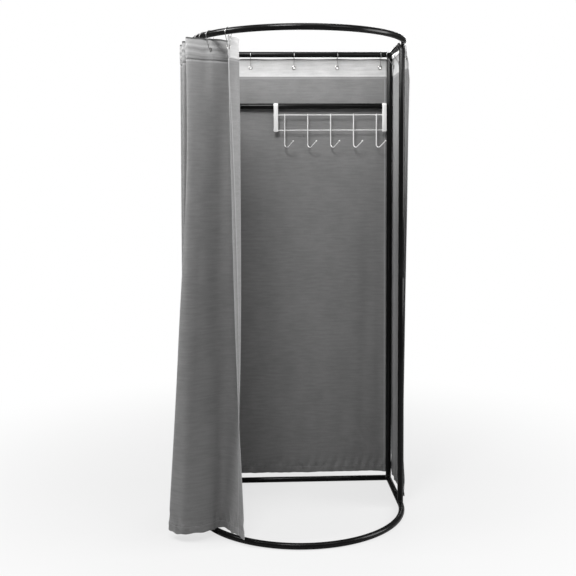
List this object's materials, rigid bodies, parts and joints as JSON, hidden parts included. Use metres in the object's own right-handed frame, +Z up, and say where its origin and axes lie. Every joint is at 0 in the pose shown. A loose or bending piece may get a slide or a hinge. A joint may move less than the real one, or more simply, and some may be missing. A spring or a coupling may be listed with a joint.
{
  "type": "portable fitting room",
  "caption": "Free-standing fitting room: black tube frame with a curved front, grey cloth curtains on wire hangers, a coat bar and a sliding hook rack.",
  "frame": {"origin": "underside of the base back rail, on its lowest facet, halfway along the rail", "axes": "+Z up; +X to the right seen from the doorway; -Y towards the doorway"},
  "size_m": [0.9905, 0.8093, 2.0029],
  "materials": {
    "frame_black": "satin black powder coat on steel tube",
    "corner_black": "satin black moulded nylon",
    "screw_zinc": "bright zinc plate",
    "hanger_wire": "zinc-plated spring wire",
    "rack_white": "gloss white paint",
    "cloth_grey": "matt woven polyester with a paler header band"
  },
  "bodies": {
    "frame": {"base_back_rail": "frame_black", "base_front_bow": "frame_black", "base_left_rail": "frame_black", "base_right_rail": "frame_black", "top_back_rail": "frame_black", "top_front_bow": "frame_black", "top_left_rail": "frame_black", "top_right_rail": "frame_black", "corner_base_back_left": "corner_black", "corner_base_back_right": "corner_black", "corner_base_front_left": "corner_black", "corner_base_front_right": "corner_black", "corner_top_back_left": "corner_black", "corner_top_back_right": "corner_black", "corner_top_front_left": "corner_black", "corner_top_front_right": "corner_black", "post_back_left_lower": "frame_black", "post_back_left_upper": "frame_black", "post_back_right_lower": "frame_black", "post_back_right_upper": "frame_black", "post_front_left_lower": "frame_black", "post_front_left_upper": "frame_black", "post_front_right_lower": "frame_black", "post_front_right_upper": "frame_black", "coat_bar": "frame_black", "coat_bar_screw_left": "screw_zinc", "coat_bar_screw_right": "screw_zinc", "hanger_front_1": "hanger_wire"},
    "hook_rack": {"rack_bracket_left": "rack_white", "rack_bracket_right": "rack_white", "rack_wire_top": "rack_white", "rack_wire_bottom": "rack_white", "rack_hook_1": "rack_white", "rack_hook_2": "rack_white", "rack_hook_3": "rack_white", "rack_hook_4": "rack_white", "rack_hook_5": "rack_white"},
    "back_panel": {"back_curtain": "cloth_grey", "hanger_back_1": "hanger_wire", "hanger_back_2": "hanger_wire", "hanger_back_3": "hanger_wire", "hanger_back_4": "hanger_wire", "hanger_back_5": "hanger_wire"},
    "left_panel": {"left_curtain": "cloth_grey", "hanger_left_1": "hanger_wire", "hanger_left_2": "hanger_wire", "hanger_left_3": "hanger_wire"},
    "right_panel": {"right_curtain": "cloth_grey", "hanger_right_1": "hanger_wire", "hanger_right_2": "hanger_wire", "hanger_right_3": "hanger_wire"},
    "front_curtain_edge": {"front_curtain": "cloth_grey", "hanger_front_8": "hanger_wire"},
    "front_hanger_2": {"hanger_front_2": "hanger_wire"},
    "front_hanger_3": {"hanger_front_3": "hanger_wire"},
    "front_hanger_4": {"hanger_front_4": "hanger_wire"},
    "front_hanger_5": {"hanger_front_5": "hanger_wire"},
    "front_hanger_6": {"hanger_front_6": "hanger_wire"},
    "front_hanger_7": {"hanger_front_7": "hanger_wire"}
  },
  "joints": [
    {"name": "front_curtain_draw", "type": "hinge", "parent": "frame", "child": "front_curtain_edge", "pos_m": [0, -0.3375, 1.9875], "axis": [0, 0, 1], "range_deg": [0, 125], "deforming": ["front_curtain"]},
    {"name": "hook_rack_slide", "type": "slide", "parent": "frame", "child": "hook_rack", "axis": [1, 0, 0], "range_m": [-0.325, 0]},
    {"name": "back_panel_swing", "type": "hinge", "parent": "frame", "child": "back_panel", "pos_m": [0, 0, 1.9875], "axis": [1, 0, 0], "range_deg": [0, 20]},
    {"name": "left_panel_swing", "type": "hinge", "parent": "frame", "child": "left_panel", "pos_m": [-0.4375, -0.16875, 1.9875], "axis": [0, 1, 0], "range_deg": [0, 20]},
    {"name": "right_panel_swing", "type": "hinge", "parent": "frame", "child": "right_panel", "pos_m": [0.4375, -0.16875, 1.9875], "axis": [0, -1, 0], "range_deg": [0, 20]},
    {"name": "front_hanger_2_glide", "type": "hinge", "parent": "frame", "child": "front_hanger_2", "pos_m": [0, -0.3375, 1.9875], "axis": [0, 0, 1], "range_deg": [0, 7.8]},
    {"name": "front_hanger_3_glide", "type": "hinge", "parent": "frame", "child": "front_hanger_3", "pos_m": [0, -0.3375, 1.9875], "axis": [0, 0, 1], "range_deg": [0, 26.8]},
    {"name": "front_hanger_4_glide", "type": "hinge", "parent": "frame", "child": "front_hanger_4", "pos_m": [0, -0.3375, 1.9875], "axis": [0, 0, 1], "range_deg": [0, 53.1]},
    {"name": "front_hanger_5_glide", "type": "hinge", "parent": "frame", "child": "front_hanger_5", "pos_m": [0, -0.3375, 1.9875], "axis": [0, 0, 1], "range_deg": [0, 81.3]},
    {"name": "front_hanger_6_glide", "type": "hinge", "parent": "frame", "child": "front_hanger_6", "pos_m": [0, -0.3375, 1.9875], "axis": [0, 0, 1], "range_deg": [0, 105.9]},
    {"name": "front_hanger_7_glide", "type": "hinge", "parent": "frame", "child": "front_hanger_7", "pos_m": [0, -0.3375, 1.9875], "axis": [0, 0, 1], "range_deg": [0, 123.8]}
  ],
  "couplings": [
    {"joint": "front_hanger_2_glide", "follows": "front_curtain_draw", "ratio": 0.058},
    {"joint": "front_hanger_3_glide", "follows": "front_curtain_draw", "ratio": 0.2108},
    {"joint": "front_hanger_4_glide", "follows": "front_curtain_draw", "ratio": 0.4209},
    {"joint": "front_hanger_5_glide", "follows": "front_curtain_draw", "ratio": 0.6461},
    {"joint": "front_hanger_6_glide", "follows": "front_curtain_draw", "ratio": 0.8432},
    {"joint": "front_hanger_7_glide", "follows": "front_curtain_draw", "ratio": 0.9865}
  ]
}
